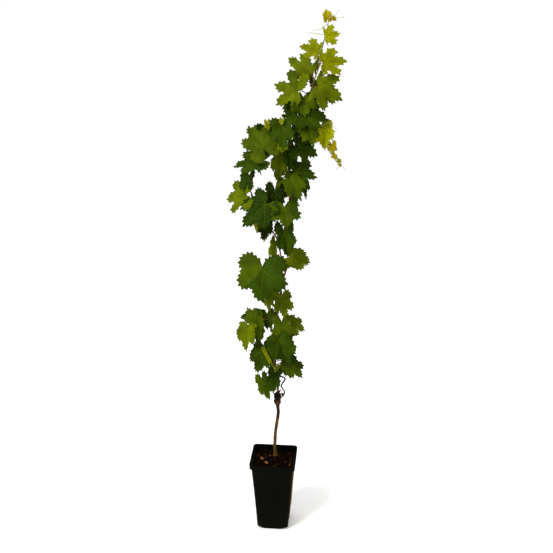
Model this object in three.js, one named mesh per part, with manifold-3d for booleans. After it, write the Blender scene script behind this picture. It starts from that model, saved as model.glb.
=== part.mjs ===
// A young grapevine in a deep square pot: pot, compost, label, trunk, shoots and masses of leaves.
// Millimetres, +Z up. The origin is the centre of the pot's flat underside.
import * as THREE from 'three';
import { mergeVertices } from 'three/addons/utils/BufferGeometryUtils.js';
import Module from 'manifold-3d';

// ---- driving dimensions -------------------------------------------------------------------

const gap = 0.3;                  // clearance between neighbouring solids

const potHeight = 232;
const rimHalf = 69.5;             // half the width across the rim
const rimDepth = 14;
const bodyTopHalf = 63.5;         // half the width of the wall just under the rim
const bodyBaseHalf = 48;
const wall = 1.8;
const footHeight = 8;             // the base stands on this step, cut back at its corners
const footHalf = 45;
const footCornerRadius = 24;
const cornerRadius = 10;

const soilTop = 215;
const soilUnevenness = 1.4;
const trunkFoot = { x: 3, y: 30, radius: 8.5 };

const labelWidth = 88;
const labelHeight = 172;
const labelThickness = 0.8;
const labelMiddle = 124;          // height of the label's centre

const limbSides = 8;
const limbStep = 24;              // length of one straight piece of a limb
const padCentre = 2.2;            // half the thickness of a leaf mass at its stalk end
const padEdge = 0.7;              // half the thickness along its edge
const padDroop = 0.16;            // how far the edges fall back, as a share of the length
const padUnevenness = 3;

// ---- looks --------------------------------------------------------------------------------

function finish(color, roughness) {
  return new THREE.MeshStandardMaterial({ color, roughness, metalness: 0 });
}

const potBlack = finish(0x0d0e0b, 0.5);
const compostBrown = finish(0x2a1a10, 0.95);
const labelOchre = finish(0xb08a3a, 0.7);
const barkBrown = finish(0x6b4a28, 0.85);
const shootBrown = finish(0x7a4c2c, 0.7);
const leafGreen = finish(0x456b10, 0.6);
const youngGreen = finish(0x8a9010, 0.6);

// ---- joining and cutting ------------------------------------------------------------------

const wasm = await Module();
wasm.setup();

function positionsOnly(geometry) {
  geometry.deleteAttribute('normal');
  geometry.deleteAttribute('uv');
  return mergeVertices(geometry, 1e-4);
}

function toSolid(geometry) {
  const merged = positionsOnly(geometry);
  return new wasm.Manifold(new wasm.Mesh({
    numProp: 3,
    vertProperties: Float32Array.from(merged.attributes.position.array),
    triVerts: Uint32Array.from(merged.index.array),
  }));
}

function toGeometry(solid) {
  const mesh = solid.getMesh();
  const geometry = new THREE.BufferGeometry();
  geometry.setAttribute('position', new THREE.BufferAttribute(mesh.vertProperties, 3));
  geometry.setIndex(new THREE.BufferAttribute(mesh.triVerts, 1));
  geometry.computeVertexNormals();
  return geometry;
}

// Cut the grown neighbours out of a solid and keep its largest piece.
function cutBack(solid, neighbours) {
  let left = solid;
  for (const neighbour of neighbours) {
    left = left.subtract(neighbour);
  }
  const pieces = left.decompose();
  pieces.sort((a, b) => b.volume() - a.volume());
  return pieces[0];
}

// ---- square pot, compost and label --------------------------------------------------------

const arcSteps = 5;
const squareSegments = 4 * (arcSteps + 1);

// Point number i around a square with rounded corners.
function squarePoint(i, half, radius) {
  const corner = Math.floor(i / (arcSteps + 1)) % 4;
  const angle = (corner + (i % (arcSteps + 1)) / arcSteps) * Math.PI / 2;
  const middle = corner * Math.PI / 2 + Math.PI / 4;
  const inset = (half - radius) * Math.SQRT2;
  return [
    inset * Math.cos(middle) + radius * Math.cos(angle),
    inset * Math.sin(middle) + radius * Math.sin(angle),
  ];
}

// A closed turned form pulled out to a square. Each ring is [half width, corner radius, height].
function squareForm(rings) {
  const profile = rings.map(([half, , height]) => new THREE.Vector2(half, height));
  const geometry = new THREE.LatheGeometry(profile, squareSegments);
  const position = geometry.attributes.position;
  for (let n = 0; n < position.count; n += 1) {
    const [half, radius, height] = rings[n % rings.length];
    const i = Math.floor(n / rings.length) % squareSegments;
    const [x, y] = squarePoint(i, half, Math.min(radius, half));
    position.setXYZ(n, x, y, height);
  }
  return geometry;
}

function wallHalf(height) {
  const slope = (bodyTopHalf - bodyBaseHalf) / (potHeight - rimDepth - footHeight);
  return bodyBaseHalf + slope * (height - footHeight);
}

function potGeometry() {
  const underRim = potHeight - rimDepth;
  const floor = footHeight + wall;
  return squareForm([
    [0, 0, 0],
    [footHalf - 1, footCornerRadius, 0],
    [footHalf, footCornerRadius, footHeight],
    [bodyBaseHalf, cornerRadius, footHeight],
    [bodyTopHalf, cornerRadius, underRim],
    [rimHalf - 0.5, cornerRadius + 2, underRim],
    [rimHalf, cornerRadius + 2, potHeight - 1],
    [rimHalf - 0.8, cornerRadius + 1.2, potHeight],
    [rimHalf - wall, cornerRadius + 0.2, potHeight],
    [rimHalf - wall - 0.6, cornerRadius, underRim + wall],
    [bodyTopHalf - wall, cornerRadius - wall, underRim + wall - 0.5],
    [wallHalf(floor) - wall, cornerRadius - wall, floor],
    [footHalf - wall, footCornerRadius - wall, floor - 0.4],
    [footHalf - wall - 1, footCornerRadius - wall, wall],
    [0, 0, wall],
  ]);
}

// How far the compost lies below its top level: nothing round the trunk's foot, and more away from it.
function soilDip(x, y) {
  const fromTrunk = Math.hypot(x - trunkFoot.x, y - trunkFoot.y);
  const fade = THREE.MathUtils.smoothstep(fromTrunk, 1.5 * trunkFoot.radius, 4 * trunkFoot.radius);
  return fade * soilUnevenness * (1 + Math.sin(x * 0.11 + 1) * Math.cos(y * 0.09));
}

function soilGeometry() {
  const clearance = wall + gap;
  const floor = footHeight + clearance;
  const topHalf = wallHalf(soilTop) - clearance;
  const topRings = [1, 0.82, 0.62, 0.42, 0.2, 0];
  const rings = [
    [0, 0, clearance],
    [footHalf - clearance - 1, footCornerRadius - clearance, clearance],
    [footHalf - clearance, footCornerRadius - clearance, floor],
    [wallHalf(floor) - clearance, cornerRadius - clearance, floor],
    ...topRings.map((share) => [topHalf * share, (cornerRadius - clearance) * share, soilTop]),
  ];
  const geometry = squareForm(rings);
  const position = geometry.attributes.position;
  for (let n = 0; n < position.count; n += 1) {
    const ring = n % rings.length;
    if (ring > rings.length - topRings.length) {
      position.setZ(n, soilTop - soilDip(position.getX(n), position.getY(n)));
    }
  }
  return geometry;
}

function labelMesh() {
  const slope = Math.atan2(bodyTopHalf - bodyBaseHalf, potHeight - rimDepth - footHeight);
  const card = new THREE.BoxGeometry(labelThickness, labelWidth, labelHeight);
  const label = new THREE.Mesh(card, labelOchre);
  const reach = gap + labelThickness / 2;
  label.name = 'label';
  label.position.set(wallHalf(labelMiddle) + reach / Math.cos(slope), 0, labelMiddle);
  label.rotation.y = slope;
  return label;
}

// ---- trunk and shoots ---------------------------------------------------------------------

// Each limb follows a smooth curve through its path. Its radii are spread evenly along it, or given
// as [share of the length, radius] where it swells.
const limbs = [
  {
    name: 'trunk',
    finish: barkBrown,
    step: 6,
    path: [[trunkFoot.x, trunkFoot.y, soilTop + gap], [1, 29, 248], [3, 27, 295], [7, 25, 330],
      [12, 21, 368], [10, 19, 405], [10, 17, 438]],
    radii: [[0, trunkFoot.radius], [0.04, 5.6], [0.2, 4.7], [0.76, 4.2], [0.81, 5], [0.845, 9.3],
      [0.875, 8.6], [0.9, 6], [0.935, 9.4], [0.97, 8.4], [1, 4.4]],
  },
  {
    name: 'shoot_low',
    finish: shootBrown,
    path: [[11, 17, 438.6], [10, 15, 480], [9, 14, 500], [3, 13, 536], [10, 12, 578], [12, 11, 640]],
    radii: [3.8, 3.2, 3, 2.9],
  },
  {
    name: 'shoot_middle',
    finish: shootBrown,
    path: [[12, 11, 640.6], [9, 9, 690], [14, 8, 730], [24, 6, 784], [33, 4, 822]],
    radii: [2.9, 2.8, 2.8, 3.2],
  },
  {
    name: 'right_shoot',
    finish: shootBrown,
    path: [[33.5, 4, 822.6], [42, 4, 848], [46, 5, 900], [43, 5, 962], [45, 4, 1034], [44, 3, 1104],
      [48, 2, 1152], [61, 0, 1190]],
    radii: [2.8, 2.6, 2.4, 2.3],
  },
  {
    name: 'right_shoot_top',
    finish: shootBrown,
    path: [[61.4, 0, 1190.6], [76, 0, 1229], [88, 0, 1287], [106, 0, 1350], [124, 0, 1405],
      [127, 0, 1432], [143, 0, 1502], [144, 0, 1524]],
    radii: [2.3, 2, 1.8, 1.5, 1.2, 0.8],
  },
  {
    name: 'left_shoot',
    finish: shootBrown,
    path: [[29, 5, 824], [17, 8, 888], [10, 10, 918], [-17, 12, 959], [-45, 12, 996], [-72, 8, 1031],
      [-83, 5, 1066]],
    radii: [2.4, 2.2, 2.1, 2],
  },
  {
    name: 'left_shoot_top',
    finish: shootBrown,
    path: [[-83.1, 5, 1066.6], [-80, 4, 1100], [-65, 4, 1132], [-43, 5, 1164], [-12, 3, 1204],
      [18, -8, 1240]],
    radii: [2, 1.8, 1.5, 1.1],
  },
  {
    name: 'side_shoot',
    finish: shootBrown,
    path: [[79, 0, 1215], [114, -4, 1207], [146, -8, 1184], [163, -10, 1158], [183, -10, 1134]],
    radii: [1.5, 1.3, 1.1, 0.8],
  },
];

function radiusAt(radii, t) {
  const last = radii.length - 1;
  const stations = radii.map((entry, i) => (Array.isArray(entry) ? entry : [i / last, entry]));
  const next = Math.max(1, stations.findIndex(([share]) => share >= t - 1e-6));
  const [[from, first], [to, second]] = [stations[next - 1], stations[next]];
  return THREE.MathUtils.lerp(first, second, (t - from) / (to - from));
}

function limbGeometry({ path, radii, step = limbStep }, extra) {
  const stations = path.map((point) => new THREE.Vector3(...point));
  const curve = new THREE.CatmullRomCurve3(stations, false, 'centripetal');
  const steps = Math.max(4, Math.round(curve.getLength() / step));
  const { normals, binormals } = curve.computeFrenetFrames(steps);
  const geometry = new THREE.CylinderGeometry(1, 1, 1, limbSides, steps);
  const position = geometry.attributes.position;
  for (let n = 0; n < position.count; n += 1) {
    const t = position.getY(n) + 0.5;
    const k = Math.round(t * steps);
    const radius = radiusAt(radii, t) + extra;
    const overrun = extra * Math.sign(t - 0.5) * (k === 0 || k === steps ? 1 : 0);
    const point = curve.getPointAt(t).addScaledVector(curve.getTangentAt(t), overrun);
    point.addScaledVector(binormals[k], position.getX(n) * radius);
    point.addScaledVector(normals[k], position.getZ(n) * radius);
    position.setXYZ(n, point.x, point.y, point.z);
  }
  return geometry;
}

// ---- masses of leaves ---------------------------------------------------------------------

// A mass is a thin pad in the outline of the lobed leaves it stands for. It starts at the stalk
// (at), is long from there to its tip and wide across its lobes. hang turns the tip in the pad's
// own plane (0 down, 90 to +X), nod tips its face up, and turn swings its face towards +X. back is
// how far it reaches behind the stalk, as a share of its length.
const masses = {
  tip_leaves: [
    { at: [141, 0, 1516], long: 23, wide: 25, hang: 188, nod: 10, turn: 10 },
    { at: [137, -12, 1471], long: 45, wide: 51, hang: 99, nod: 15, turn: 25, back: 0.08 },
    { at: [118, -10, 1434], long: 56, wide: 54, hang: -107, nod: 20, turn: -20, back: 0.12 },
    { at: [135, -15, 1405], long: 62, wide: 73, hang: 97, nod: 20, turn: 20, back: 0.18 },
    { at: [109, 12, 1371], long: 90, wide: 78, hang: -116, nod: 25, turn: -30, back: 0.15 },
    { at: [116, -25, 1345], long: 72, wide: 104, hang: 63, nod: 25, turn: 15, back: 0.3 },
    { at: [63, -20, 1334], long: 75, wide: 101, hang: -102, nod: 20, turn: -25, back: 0.28 },
  ],
  bend_leaves: [
    { at: [83, -14, 1312], long: 54, wide: 72, hang: 3, nod: 45, turn: 0 },
    { at: [84, -40, 1274], long: 69, wide: 88, hang: 81, nod: 35, turn: 20 },
    { at: [130, -10, 1240], long: 61, wide: 62, hang: 4, nod: 25, turn: 20, back: 0.25 },
    { at: [71, -14, 1184], long: 57, wide: 85, hang: 65, nod: 30, turn: 30 },
    { at: [27, -48, 1244], long: 62, wide: 67, hang: 6, nod: 20, turn: -5, back: 0.32 },
  ],
  right_leaves: [
    { at: [60, -10, 1118], long: 64, wide: 71, hang: 73, nod: 30, turn: 20 },
    { at: [48, -30, 1097], long: 62, wide: 63, hang: 27, nod: 30, turn: 15, back: 0.15 },
    { at: [12, 45, 1150], long: 73, wide: 55, hang: 3, nod: 10, turn: -50 },
    { at: [5, -8, 1061], long: 61, wide: 53, hang: 5, nod: 30, turn: 0 },
    { at: [36, -52, 1024], long: 55, wide: 82, hang: 3, nod: 30, turn: 5, back: 0.3 },
  ],
  left_leaves: [
    { at: [-25, -38, 1184], long: 83, wide: 86, hang: -144, nod: 30, turn: -10 },
    { at: [-37, -30, 1147], long: 77, wide: 67, hang: -77, nod: 35, turn: -20 },
    { at: [-68, -4, 1096], long: 49, wide: 51, hang: 5, nod: 25, turn: -30 },
    { at: [-80, -20, 1051], long: 69, wide: 95, hang: -75, nod: 25, turn: -35 },
    { at: [-18, -48, 1033], long: 86, wide: 101, hang: -41, nod: 25, turn: -10, back: 0.25 },
    { at: [-14, -14, 991], long: 74, wide: 53, hang: -5, nod: 15, turn: -15 },
  ],
  fork_leaves: [
    { at: [33, -40, 953], long: 69, wide: 59, hang: 9, nod: 15, turn: 15 },
    { at: [2, 30, 899], long: 53, wide: 36, hang: 1, nod: 15, turn: -40 },
    { at: [52, 0, 869], long: 57, wide: 65, hang: 74, nod: 30, turn: 20 },
    { at: [-20, -60, 851], long: 91, wide: 143, hang: 0, nod: 25, turn: -8 },
  ],
  middle_leaves: [
    { at: [-12, -15, 756], long: 43, wide: 30, hang: 5, nod: 20, turn: -10 },
    { at: [26, -15, 748], long: 53, wide: 59, hang: 7, nod: 30, turn: 10 },
    { at: [-19, 2, 692], long: 42, wide: 51, hang: 13, nod: 35, turn: -10 },
    { at: [-52, 4, 688], long: 51, wide: 40, hang: -78, nod: 35, turn: -20 },
    { at: [-71, -38, 674], long: 75, wide: 63, hang: 0, nod: 20, turn: -25 },
    { at: [-44, -20, 671], long: 67, wide: 40, hang: 9, nod: 25, turn: -10 },
    { at: [26, -20, 676], long: 56, wide: 58, hang: 8, nod: 30, turn: 0 },
    { at: [54, 0, 666], long: 42, wide: 57, hang: 62, nod: 30, turn: 25 },
  ],
  lower_leaves: [
    { at: [20, -45, 636], long: 83, wide: 78, hang: 16, nod: 25, turn: 10, back: 0.2 },
    { at: [-24, -42, 603], long: 70, wide: 74, hang: -10, nod: 30, turn: -15, back: 0.2 },
    { at: [51, -30, 553], long: 54, wide: 58, hang: 34, nod: 30, turn: 20 },
    { at: [5, -14, 512], long: 56, wide: 43, hang: -1, nod: 20, turn: -10 },
    { at: [-32, -5, 484], long: 57, wide: 44, hang: 28, nod: 25, turn: -15 },
  ],
  rear_leaves: [
    { at: [120, 40, 1372], long: 60, wide: 74, hang: 10, nod: 30, turn: 160 },
    { at: [66, 36, 1300], long: 60, wide: 72, hang: 20, nod: 25, turn: 190 },
    { at: [82, 44, 1236], long: 60, wide: 72, hang: -15, nod: 30, turn: 165 },
    { at: [-30, 42, 1216], long: 58, wide: 70, hang: 10, nod: 30, turn: 200 },
    { at: [38, 48, 1072], long: 60, wide: 72, hang: -10, nod: 30, turn: 170 },
    { at: [-24, 46, 1016], long: 56, wide: 70, hang: 12, nod: 25, turn: 195 },
    { at: [-14, 52, 792], long: 68, wide: 84, hang: -8, nod: 30, turn: 185 },
    { at: [22, 44, 612], long: 64, wide: 74, hang: 10, nod: 25, turn: 175 },
  ],
};

// The lobed outline: [angle from the tip in degrees, reach from the stalk as a share of the length].
const halfOutline = [
  [0, 1], [15, 0.84], [28, 0.66], [40, 0.8], [52, 0.9], [66, 0.76], [82, 0.56],
  [98, 0.64], [112, 0.68], [132, 0.58], [152, 0.46], [170, 0.26], [180, 0.1],
];
const otherHalf = halfOutline.slice(1, -1).reverse().map(([angle, reach]) => [360 - angle, reach]);
const outline = [...halfOutline, ...otherHalf];
const outlineBack = 0.406;        // how far that outline reaches behind the stalk
const halfWidths = outline.map(([angle, reach]) => reach * Math.sin(angle * Math.PI / 180));
const outlineWidth = 2 * Math.max(...halfWidths);

function makeRandom(seed) {
  let state = seed;
  return () => {
    state = (state * 16807) % 2147483647;
    return state / 2147483647;
  };
}

function massGeometry({ at, long, wide, hang, nod, turn, back = outlineBack }, seed, extra) {
  const random = makeRandom(seed);
  const heave = outline.map(() => (random() - 0.5) * 2 * padUnevenness);
  const rows = [-padCentre - extra, -padEdge - extra, padEdge + extra, padCentre + extra];
  const profile = rows.map((row, j) => new THREE.Vector2(j === 0 || j === 3 ? 0 : 1, row));
  const geometry = new THREE.LatheGeometry(profile, outline.length);
  const position = geometry.attributes.position;
  for (let n = 0; n < position.count; n += 1) {
    const [angle, reach] = outline[Math.floor(n / 4) % outline.length];
    const atEdge = n % 4 === 1 || n % 4 === 2 ? 1 : 0;
    const across = atEdge * (reach * wide / outlineWidth + extra) * Math.sin(angle * Math.PI / 180);
    const forward = atEdge * (reach * long + extra) * Math.cos(angle * Math.PI / 180);
    const along = forward < 0 ? forward * back / outlineBack : forward;
    const fall = atEdge * (padDroop * long * reach * reach + heave[Math.floor(n / 4) % outline.length]);
    position.setXYZ(n, across, fall - position.getY(n), -along);
  }
  const place = new THREE.Object3D();
  const radians = THREE.MathUtils.degToRad;
  place.rotation.set(-radians(nod), -radians(hang), radians(turn), 'ZXY');
  place.position.set(...at);
  place.updateMatrix();
  return geometry.applyMatrix4(place.matrix);
}

// ---- assembly -----------------------------------------------------------------------------

const group = new THREE.Group();

function add(name, geometry, material) {
  const mesh = new THREE.Mesh(geometry, material);
  mesh.name = name;
  group.add(mesh);
}

add('pot', potGeometry(), potBlack);
add('soil', soilGeometry(), compostBrown);
group.add(labelMesh());

const grown = [];
for (const limb of limbs) {
  const solid = cutBack(toSolid(limbGeometry(limb, 0)), grown);
  add(limb.name, toGeometry(solid), limb.finish);
  grown.push(toSolid(limbGeometry(limb, gap)));
}

let seed = 11;
for (const [tier, list] of Object.entries(masses)) {
  list.forEach((mass, index) => {
    seed += 7;
    const solid = cutBack(toSolid(massGeometry(mass, seed, 0)), grown);
    const material = tier === 'tip_leaves' ? youngGreen : leafGreen;
    add(`${tier}_${index + 1}`, toGeometry(solid), material);
    grown.push(toSolid(massGeometry(mass, seed, gap + 0.1)));
  });
}

export default group;
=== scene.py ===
# A young grapevine in a deep square pot. Metres, +Z up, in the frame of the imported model.
import math
import random

import bmesh
import bpy
from mathutils import Matrix, Vector, noise


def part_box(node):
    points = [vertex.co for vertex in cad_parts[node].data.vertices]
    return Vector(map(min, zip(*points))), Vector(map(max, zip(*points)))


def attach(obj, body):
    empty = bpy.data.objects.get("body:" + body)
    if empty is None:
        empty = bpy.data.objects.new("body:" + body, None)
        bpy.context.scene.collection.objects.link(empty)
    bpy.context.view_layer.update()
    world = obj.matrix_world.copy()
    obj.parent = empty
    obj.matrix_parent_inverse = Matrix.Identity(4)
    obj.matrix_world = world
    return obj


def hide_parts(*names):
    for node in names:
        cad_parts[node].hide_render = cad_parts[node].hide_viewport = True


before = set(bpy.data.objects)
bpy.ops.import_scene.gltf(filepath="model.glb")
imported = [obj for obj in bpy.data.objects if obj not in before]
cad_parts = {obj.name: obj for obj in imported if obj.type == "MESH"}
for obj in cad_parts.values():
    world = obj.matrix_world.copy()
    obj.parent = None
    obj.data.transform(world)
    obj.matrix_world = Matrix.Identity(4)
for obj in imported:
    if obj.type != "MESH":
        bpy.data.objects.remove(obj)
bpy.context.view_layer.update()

MM = 0.001
UP = Vector((0, 0, 1))


# ---- camera, floor and light ----------------------------------------------------------------

CAMERA_AZIMUTH = math.radians(5)
CAMERA_DISTANCE = 2.2
CAMERA_HEIGHT = 1.5
CAMERA_PITCH = math.radians(17.4)
CAMERA_SIDESTEP = 0.0085
CAMERA_LENS = 52.3
KEY_PLACE = Vector((-1.7, -2.2, 3.2))
KEY_TARGET = Vector((0, 0, 0.9))
KEY_SIZE = 1.2
KEY_POWER = 126
KEY_TINT = (1, 0.98, 0.93)
FLOOR_HALF = 12


def make_camera():
    camera = bpy.data.cameras.new("camera")
    camera.lens = CAMERA_LENS
    camera.sensor_width = 36
    camera.clip_start = 0.05
    holder = bpy.data.objects.new("camera", camera)
    across = Vector((math.cos(CAMERA_AZIMUTH), math.sin(CAMERA_AZIMUTH), 0))
    back = Vector((math.sin(CAMERA_AZIMUTH), -math.cos(CAMERA_AZIMUTH), 0))
    holder.location = back * CAMERA_DISTANCE + across * CAMERA_SIDESTEP + UP * CAMERA_HEIGHT
    holder.rotation_euler = (math.pi / 2 - CAMERA_PITCH, 0, CAMERA_AZIMUTH)
    bpy.context.scene.collection.objects.link(holder)
    bpy.context.scene.camera = holder


def make_light():
    """A white world all round and one soft key light from the upper left."""
    world = bpy.data.worlds.new("studio")
    world.use_nodes = True
    background = world.node_tree.nodes["Background"]
    background.inputs["Color"].default_value = (1, 1, 1, 1)
    background.inputs["Strength"].default_value = 1.0
    bpy.context.scene.world = world
    bpy.context.scene.view_settings.view_transform = "Standard"
    light = bpy.data.lights.new("key_light", "AREA")
    light.shape = "SQUARE"
    light.size = KEY_SIZE
    light.energy = KEY_POWER
    light.color = KEY_TINT
    holder = bpy.data.objects.new("key_light", light)
    holder.location = KEY_PLACE
    holder.rotation_euler = (KEY_TARGET - KEY_PLACE).to_track_quat("-Z", "Y").to_euler()
    bpy.context.scene.collection.objects.link(holder)


def make_floor():
    bm = bmesh.new()
    bmesh.ops.create_grid(bm, x_segments=1, y_segments=1, size=FLOOR_HALF)
    floor = new_object("floor", bm, [plain_material("floor_paper", (254, 254, 254), 0.95, 0.0)])


# ---- materials ------------------------------------------------------------------------------

COLOUR_DETAIL = 4
RELIEF_DETAIL = 6
BLOTCH_LOW = 0.34             # where on the pattern the first colour ends
BLOTCH_HIGH = 0.66            # and where the last one begins
LEAF_SHADES = (0.86, 1, 1.14)
VEIN_CELLS = 190              # scale of the net of small veins
UNDERSIDE_SHARE = 1.12        # a leaf's underside is paler than its face


def linear(colour):
    """An sRGB colour of 0 to 255 as linear RGBA."""
    def channel(value):
        value /= 255
        return value / 12.92 if value <= 0.04045 else ((value + 0.055) / 1.055) ** 2.4
    return (*[channel(value) for value in colour], 1)


def shade(colour, factor):
    """A colour made darker or lighter by a factor."""
    return tuple(min(255, channel * factor) for channel in colour)


def plain_material(name, colour, roughness, specular):
    material = bpy.data.materials.new(name)
    material.use_nodes = True
    shader = material.node_tree.nodes["Principled BSDF"]
    shader.inputs["Base Color"].default_value = linear(colour)
    shader.inputs["Roughness"].default_value = roughness
    shader.inputs["Specular IOR Level"].default_value = specular
    return material


def noise_node(tree, scale, detail, stretch=(1, 1, 1)):
    """A noise pattern on object coordinates, stretched along the axes."""
    place = tree.nodes.new("ShaderNodeTexCoord")
    mapping = tree.nodes.new("ShaderNodeMapping")
    mapping.inputs["Scale"].default_value = stretch
    pattern = tree.nodes.new("ShaderNodeTexNoise")
    pattern.inputs["Scale"].default_value = scale
    pattern.inputs["Detail"].default_value = detail
    tree.links.new(place.outputs["Object"], mapping.inputs["Vector"])
    tree.links.new(mapping.outputs["Vector"], pattern.inputs["Vector"])
    return pattern


def add_bump(material, height, strength, depth):
    """Lays one more bump over the ones a material already has."""
    tree = material.node_tree
    shader = tree.nodes["Principled BSDF"]
    bumper = tree.nodes.new("ShaderNodeBump")
    bumper.inputs["Strength"].default_value = strength
    bumper.inputs["Distance"].default_value = depth
    for link in shader.inputs["Normal"].links:
        tree.links.new(link.from_socket, bumper.inputs["Normal"])
    tree.links.new(height, bumper.inputs["Height"])
    tree.links.new(bumper.outputs["Normal"], shader.inputs["Normal"])


def blotched_material(name, colours, roughness, specular, scale, bump, bump_scale, bump_depth,
                      stretch=(1, 1, 1)):
    """Two or more colours in soft blotches, with a fine bump of its own scale."""
    material = plain_material(name, colours[0], roughness, specular)
    tree = material.node_tree
    pattern = noise_node(tree, scale, COLOUR_DETAIL, stretch)
    ramp = tree.nodes.new("ShaderNodeValToRGB")
    ramp.color_ramp.elements[0].position = BLOTCH_LOW
    ramp.color_ramp.elements[0].color = linear(colours[0])
    ramp.color_ramp.elements[1].position = BLOTCH_HIGH
    ramp.color_ramp.elements[1].color = linear(colours[-1])
    for number, colour in enumerate(colours[1:-1], start=1):
        position = BLOTCH_LOW + (BLOTCH_HIGH - BLOTCH_LOW) * number / (len(colours) - 1)
        element = ramp.color_ramp.elements.new(position)
        element.color = linear(colour)
    tree.links.new(pattern.outputs["Fac"], ramp.inputs["Fac"])
    tree.links.new(ramp.outputs["Color"], tree.nodes["Principled BSDF"].inputs["Base Color"])
    relief = noise_node(tree, bump_scale, RELIEF_DETAIL, stretch)
    add_bump(material, relief.outputs["Fac"], bump, bump_depth)
    return material


def leaf_material(name, colour, roughness, specular):
    """A leaf's skin, made once: soft blotches of the green it is given and the fine net of small veins.
    """
    if name in bpy.data.materials:
        return bpy.data.materials[name]
    colours = [shade(colour, factor) for factor in LEAF_SHADES]
    material = blotched_material(name, colours, roughness, specular, 26, 0.3, 150, 0.0006)
    tree = material.node_tree
    place = tree.nodes.new("ShaderNodeTexCoord")
    cells = tree.nodes.new("ShaderNodeTexVoronoi")
    cells.feature = "DISTANCE_TO_EDGE"
    cells.inputs["Scale"].default_value = VEIN_CELLS
    tree.links.new(place.outputs["Object"], cells.inputs["Vector"])
    add_bump(material, cells.outputs["Distance"], 0.4, 0.0008)
    return material


# The greens of the leaves, from the tip of the vine to its oldest leaves. They are partly painted light
# and shade: leaves that lie in shade have darker greens as painted shade, and some leaves that the lamp
# leaves dim have lighter greens as painted light.
TINTS = {
    "young": (130, 118, 2),
    "bright": (126, 130, 2),
    "fresh": (106, 110, 2),
    "light": (75, 86, 2),
    "mid": (54, 67, 2),
    "dark": (36, 53, 2),
    "deep": (27, 44, 3),
    "dusk": (17, 31, 2),
}


def leaf_skins(tints):
    """Upper and under skins in turn, so that an upper slot's underside is the next slot."""
    skins = []
    for name in tints:
        under = tuple(channel * UNDERSIDE_SHARE + 3 for channel in TINTS[name])
        skins.append(leaf_material("leaf_" + name, TINTS[name], 0.5, 0.015))
        skins.append(leaf_material("underleaf_" + name, under, 0.75, 0.0))
    return skins


# ---- meshes ---------------------------------------------------------------------------------

def new_object(name, bm, materials):
    mesh = bpy.data.meshes.new(name)
    bm.to_mesh(mesh)
    bm.free()
    for material in materials:
        mesh.materials.append(material)
    piece = bpy.data.objects.new(name, mesh)
    bpy.context.scene.collection.objects.link(piece)
    return piece


def smooth(bm, crease=math.pi):
    """Smooth faces, with edges bent more than the crease left sharp."""
    for face in bm.faces:
        face.smooth = True
    for edge in bm.edges:
        edge.smooth = not edge.is_manifold or edge.calc_face_angle() < crease


def finish_piece(piece, slot, *nodes):
    """Gives a piece its body and hides the solids that it stands in for. The slot is not used."""
    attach(piece, "root")
    if nodes:
        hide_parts(*nodes)


def absorb(bm, part):
    """Adds a small bmesh to a bigger one and frees it."""
    mesh = bpy.data.meshes.new("part")
    part.to_mesh(mesh)
    part.free()
    bm.from_mesh(mesh)
    bpy.data.meshes.remove(mesh)


def curve_points(stations, count):
    """Evenly numbered points on a smooth curve through the stations."""
    spans = len(stations) - 1
    padded = [stations[0] * 2 - stations[1], *stations, stations[-1] * 2 - stations[-2]]
    points = []
    for number in range(count + 1):
        place = number / count * spans
        span = min(int(place), spans - 1)
        t = place - span
        a, b, c, d = padded[span:span + 4]
        bend = (a * 2 - b * 5 + c * 4 - d) * t ** 2 + (b * 3 - a - c * 3 + d) * t ** 3
        points.append((b * 2 + (c - a) * t + bend) * 0.5)
    return points


def spread(values, t):
    """The value a share t of the way through an evenly spaced list."""
    place = t * (len(values) - 1)
    low = min(int(place), len(values) - 2)
    return values[low] + (values[low + 1] - values[low]) * (place - low)


def extrude_rim(bm, edges):
    """Extrudes a loop of open edges and returns the new loop's vertices and edges."""
    made = bmesh.ops.extrude_edge_only(bm, edges=edges)["geom"]
    ring = [part for part in made if isinstance(part, bmesh.types.BMVert)]
    return ring, [part for part in made if isinstance(part, bmesh.types.BMEdge) and part.is_boundary]


def path_length(points):
    return sum((b - a).length for a, b in zip(points, points[1:]))


def sweep(points, radii, sides, relief=None, material=None):
    """A closed tube along the points. relief gives a share of the radius to add at a place, and
    material the slot of a face by its middle."""
    tube = bmesh.new()
    ring = bmesh.ops.create_circle(tube, cap_ends=True, segments=sides, radius=1)["verts"]
    heading = (points[1] - points[0]).normalized()
    turn = UP.rotation_difference(heading)
    spot = Matrix.Translation(points[0]) @ turn.to_matrix().to_4x4() @ Matrix.Scale(radii[0], 4)
    bmesh.ops.transform(tube, matrix=spot, verts=ring)
    rings = [(points[0], ring)]
    edges = [edge for edge in tube.edges if edge.is_boundary]
    for number in range(1, len(points)):
        ahead = points[min(number + 1, len(points) - 1)] - points[number - 1]
        turn = heading.rotation_difference(ahead.normalized())
        heading = ahead.normalized()
        ring, edges = extrude_rim(tube, edges)
        grow = Matrix.Scale(radii[number] / radii[number - 1], 4)
        to_start = Matrix.Translation(-points[number - 1])
        step = Matrix.Translation(points[number]) @ turn.to_matrix().to_4x4() @ grow @ to_start
        bmesh.ops.transform(tube, matrix=step, verts=ring)
        rings.append((points[number], ring))
    bmesh.ops.contextual_create(tube, geom=edges)
    if relief:
        for centre, ring in rings:
            for vert in ring:
                vert.co = centre + (vert.co - centre) * (1 + relief(vert.co))
    bmesh.ops.recalc_face_normals(tube, faces=tube.faces)
    smooth(tube)
    if material:
        for face in tube.faces:
            face.material_index = material(face.calc_center_median())
    return tube


def tapered(points, first, last, sides, relief=None, material=None):
    """A closed tube whose radius goes evenly from the first to the last."""
    count = len(points) - 1
    radii = [first + (last - first) * number / count for number in range(count + 1)]
    return sweep(points, radii, sides, relief, material)


# ---- trunk and shoots -----------------------------------------------------------------------

LIMBS = ["trunk", "shoot_low", "shoot_middle", "right_shoot", "right_shoot_top", "left_shoot",
         "left_shoot_top", "side_shoot"]
RING_GAP = 2.5 * MM
RING_POINTS = 6               # the least a ring has, more than the middle of a solid's end
CURVE_STEPS = 60


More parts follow.
